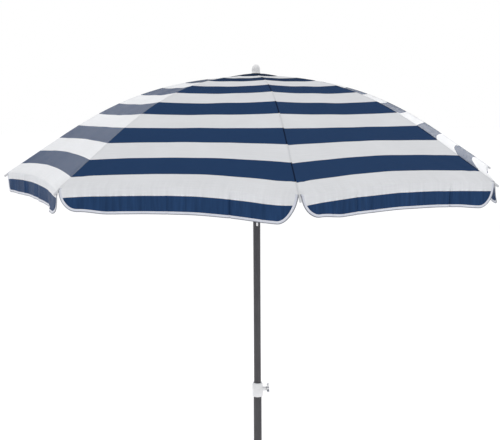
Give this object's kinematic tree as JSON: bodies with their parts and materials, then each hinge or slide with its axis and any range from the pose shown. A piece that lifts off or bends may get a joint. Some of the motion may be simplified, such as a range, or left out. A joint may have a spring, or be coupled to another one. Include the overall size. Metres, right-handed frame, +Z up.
{
  "type": "beach umbrella",
  "caption": "Folding beach umbrella: striped cloth canopy with a hanging valance on hinged ribs and stretchers, a sliding runner and a two-part pole with a sand point.",
  "frame": {"origin": "the point of the pole's foot, on the pole's axis, where the umbrella stands in the sand", "axes": "+Z up along the pole; rib 1 and the push button face -Y; the thumb screw points along +X"},
  "size_m": [1.8782, 1.8782, 2.0147],
  "materials": {
    "pole_steel": "satin dark grey coat",
    "rod_steel": "zinc plated",
    "bright_steel": "bright plated",
    "white_plastic": "moulded, satin",
    "tip_plastic": "moulded, satin",
    "cloth": "woven polyester, navy and white stripes"
  },
  "bodies": {
    "lower_pole": {"lower_pole": "pole_steel", "sand_point": "white_plastic", "clamp_collar": "white_plastic"},
    "upper_pole": {"upper_pole": "pole_steel", "crown_hub": "white_plastic", "crown_wire": "rod_steel", "finial": "white_plastic"},
    "clamp_screw": {"clamp_screw": "bright_steel"},
    "pole_button": {"pole_button": "bright_steel"},
    "rib_1": {"rib_1": "rod_steel", "rib_bracket_1": "rod_steel", "rib_tip_1": "tip_plastic", "canopy_1": "cloth"},
    "stretcher_1": {"stretcher_1": "rod_steel"},
    "rib_2": {"rib_2": "rod_steel", "rib_bracket_2": "rod_steel", "rib_tip_2": "tip_plastic", "canopy_2": "cloth"},
    "stretcher_2": {"stretcher_2": "rod_steel"},
    "rib_3": {"rib_3": "rod_steel", "rib_bracket_3": "rod_steel", "rib_tip_3": "tip_plastic", "canopy_3": "cloth"},
    "stretcher_3": {"stretcher_3": "rod_steel"},
    "rib_4": {"rib_4": "rod_steel", "rib_bracket_4": "rod_steel", "rib_tip_4": "tip_plastic", "canopy_4": "cloth"},
    "stretcher_4": {"stretcher_4": "rod_steel"},
    "rib_5": {"rib_5": "rod_steel", "rib_bracket_5": "rod_steel", "rib_tip_5": "tip_plastic", "canopy_5": "cloth"},
    "stretcher_5": {"stretcher_5": "rod_steel"},
    "rib_6": {"rib_6": "rod_steel", "rib_bracket_6": "rod_steel", "rib_tip_6": "tip_plastic", "canopy_6": "cloth"},
    "stretcher_6": {"stretcher_6": "rod_steel"},
    "rib_7": {"rib_7": "rod_steel", "rib_bracket_7": "rod_steel", "rib_tip_7": "tip_plastic", "canopy_7": "cloth"},
    "stretcher_7": {"stretcher_7": "rod_steel"},
    "rib_8": {"rib_8": "rod_steel", "rib_bracket_8": "rod_steel", "rib_tip_8": "tip_plastic", "canopy_8": "cloth"},
    "stretcher_8": {"stretcher_8": "rod_steel"},
    "runner": {"runner": "white_plastic", "runner_wire": "rod_steel"}
  },
  "joints": [
    {"name": "pole_height", "type": "slide", "parent": "lower_pole", "child": "upper_pole", "axis": [0, 0, 1], "range_m": [-0.14, 0.2]},
    {"name": "clamp_screw_turn", "type": "hinge", "parent": "lower_pole", "child": "clamp_screw", "pos_m": [0, 0, 0.742], "axis": [1, 0, 0], "range_deg": [0, 360]},
    {"name": "button_press", "type": "slide", "parent": "upper_pole", "child": "pole_button", "axis": [0, 1, 0], "range_m": [0, 0.003], "stiffness_N_per_m": 300, "springref_m": -0.003},
    {"name": "open_close", "type": "hinge", "parent": "upper_pole", "child": "rib_1", "pos_m": [0, -0.024, 1.96945], "axis": [1, 0, 0], "range_deg": [0, 66], "deforming": ["canopy_1"]},
    {"name": "stretcher_1_hinge", "type": "hinge", "parent": "rib_1", "child": "stretcher_1", "pos_m": [0, -0.50664, 1.85895], "axis": [1, 0, 0], "range_deg": [-132, 0]},
    {"name": "rib_2_hinge", "type": "hinge", "parent": "upper_pole", "child": "rib_2", "pos_m": [0.01697, -0.01697, 1.96945], "axis": [0.7071, 0.7071, 0], "range_deg": [0, 66], "deforming": ["canopy_2"]},
    {"name": "stretcher_2_hinge", "type": "hinge", "parent": "rib_2", "child": "stretcher_2", "pos_m": [0.35825, -0.35825, 1.85895], "axis": [0.7071, 0.7071, 0], "range_deg": [-132, 0]},
    {"name": "rib_3_hinge", "type": "hinge", "parent": "upper_pole", "child": "rib_3", "pos_m": [0.024, 0, 1.96945], "axis": [0, 1, 0], "range_deg": [0, 66], "deforming": ["canopy_3"]},
    {"name": "stretcher_3_hinge", "type": "hinge", "parent": "rib_3", "child": "stretcher_3", "pos_m": [0.50664, 0, 1.85895], "axis": [0, 1, 0], "range_deg": [-132, 0]},
    {"name": "rib_4_hinge", "type": "hinge", "parent": "upper_pole", "child": "rib_4", "pos_m": [0.01697, 0.01697, 1.96945], "axis": [-0.7071, 0.7071, 0], "range_deg": [0, 66], "deforming": ["canopy_4"]},
    {"name": "stretcher_4_hinge", "type": "hinge", "parent": "rib_4", "child": "stretcher_4", "pos_m": [0.35825, 0.35825, 1.85895], "axis": [-0.7071, 0.7071, 0], "range_deg": [-132, 0]},
    {"name": "rib_5_hinge", "type": "hinge", "parent": "upper_pole", "child": "rib_5", "pos_m": [0, 0.024, 1.96945], "axis": [-1, 0, 0], "range_deg": [0, 66], "deforming": ["canopy_5"]},
    {"name": "stretcher_5_hinge", "type": "hinge", "parent": "rib_5", "child": "stretcher_5", "pos_m": [0, 0.50664, 1.85895], "axis": [-1, 0, 0], "range_deg": [-132, 0]},
    {"name": "rib_6_hinge", "type": "hinge", "parent": "upper_pole", "child": "rib_6", "pos_m": [-0.01697, 0.01697, 1.96945], "axis": [-0.7071, -0.7071, 0], "range_deg": [0, 66], "deforming": ["canopy_6"]},
    {"name": "stretcher_6_hinge", "type": "hinge", "parent": "rib_6", "child": "stretcher_6", "pos_m": [-0.35825, 0.35825, 1.85895], "axis": [-0.7071, -0.7071, 0], "range_deg": [-132, 0]},
    {"name": "rib_7_hinge", "type": "hinge", "parent": "upper_pole", "child": "rib_7", "pos_m": [-0.024, 0, 1.96945], "axis": [0, -1, 0], "range_deg": [0, 66], "deforming": ["canopy_7"]},
    {"name": "stretcher_7_hinge", "type": "hinge", "parent": "rib_7", "child": "stretcher_7", "pos_m": [-0.50664, 0, 1.85895], "axis": [0, -1, 0], "range_deg": [-132, 0]},
    {"name": "rib_8_hinge", "type": "hinge", "parent": "upper_pole", "child": "rib_8", "pos_m": [-0.01697, -0.01697, 1.96945], "axis": [0.7071, -0.7071, 0], "range_deg": [0, 66], "deforming": ["canopy_8"]},
    {"name": "stretcher_8_hinge", "type": "hinge", "parent": "rib_8", "child": "stretcher_8", "pos_m": [-0.35825, -0.35825, 1.85895], "axis": [0.7071, -0.7071, 0], "range_deg": [-132, 0]},
    {"name": "runner_hinge", "type": "hinge", "parent": "stretcher_1", "child": "runner", "pos_m": [0, -0.024, 1.74845], "axis": [1, 0, 0], "range_deg": [0, 66]}
  ],
  "couplings": [
    {"joint": "stretcher_1_hinge", "follows": "open_close", "ratio": -2},
    {"joint": "rib_2_hinge", "follows": "open_close", "ratio": 1},
    {"joint": "stretcher_2_hinge", "follows": "open_close", "ratio": -2},
    {"joint": "rib_3_hinge", "follows": "open_close", "ratio": 1},
    {"joint": "stretcher_3_hinge", "follows": "open_close", "ratio": -2},
    {"joint": "rib_4_hinge", "follows": "open_close", "ratio": 1},
    {"joint": "stretcher_4_hinge", "follows": "open_close", "ratio": -2},
    {"joint": "rib_5_hinge", "follows": "open_close", "ratio": 1},
    {"joint": "stretcher_5_hinge", "follows": "open_close", "ratio": -2},
    {"joint": "rib_6_hinge", "follows": "open_close", "ratio": 1},
    {"joint": "stretcher_6_hinge", "follows": "open_close", "ratio": -2},
    {"joint": "rib_7_hinge", "follows": "open_close", "ratio": 1},
    {"joint": "stretcher_7_hinge", "follows": "open_close", "ratio": -2},
    {"joint": "rib_8_hinge", "follows": "open_close", "ratio": 1},
    {"joint": "stretcher_8_hinge", "follows": "open_close", "ratio": -2},
    {"joint": "runner_hinge", "follows": "open_close", "ratio": 1}
  ]
}
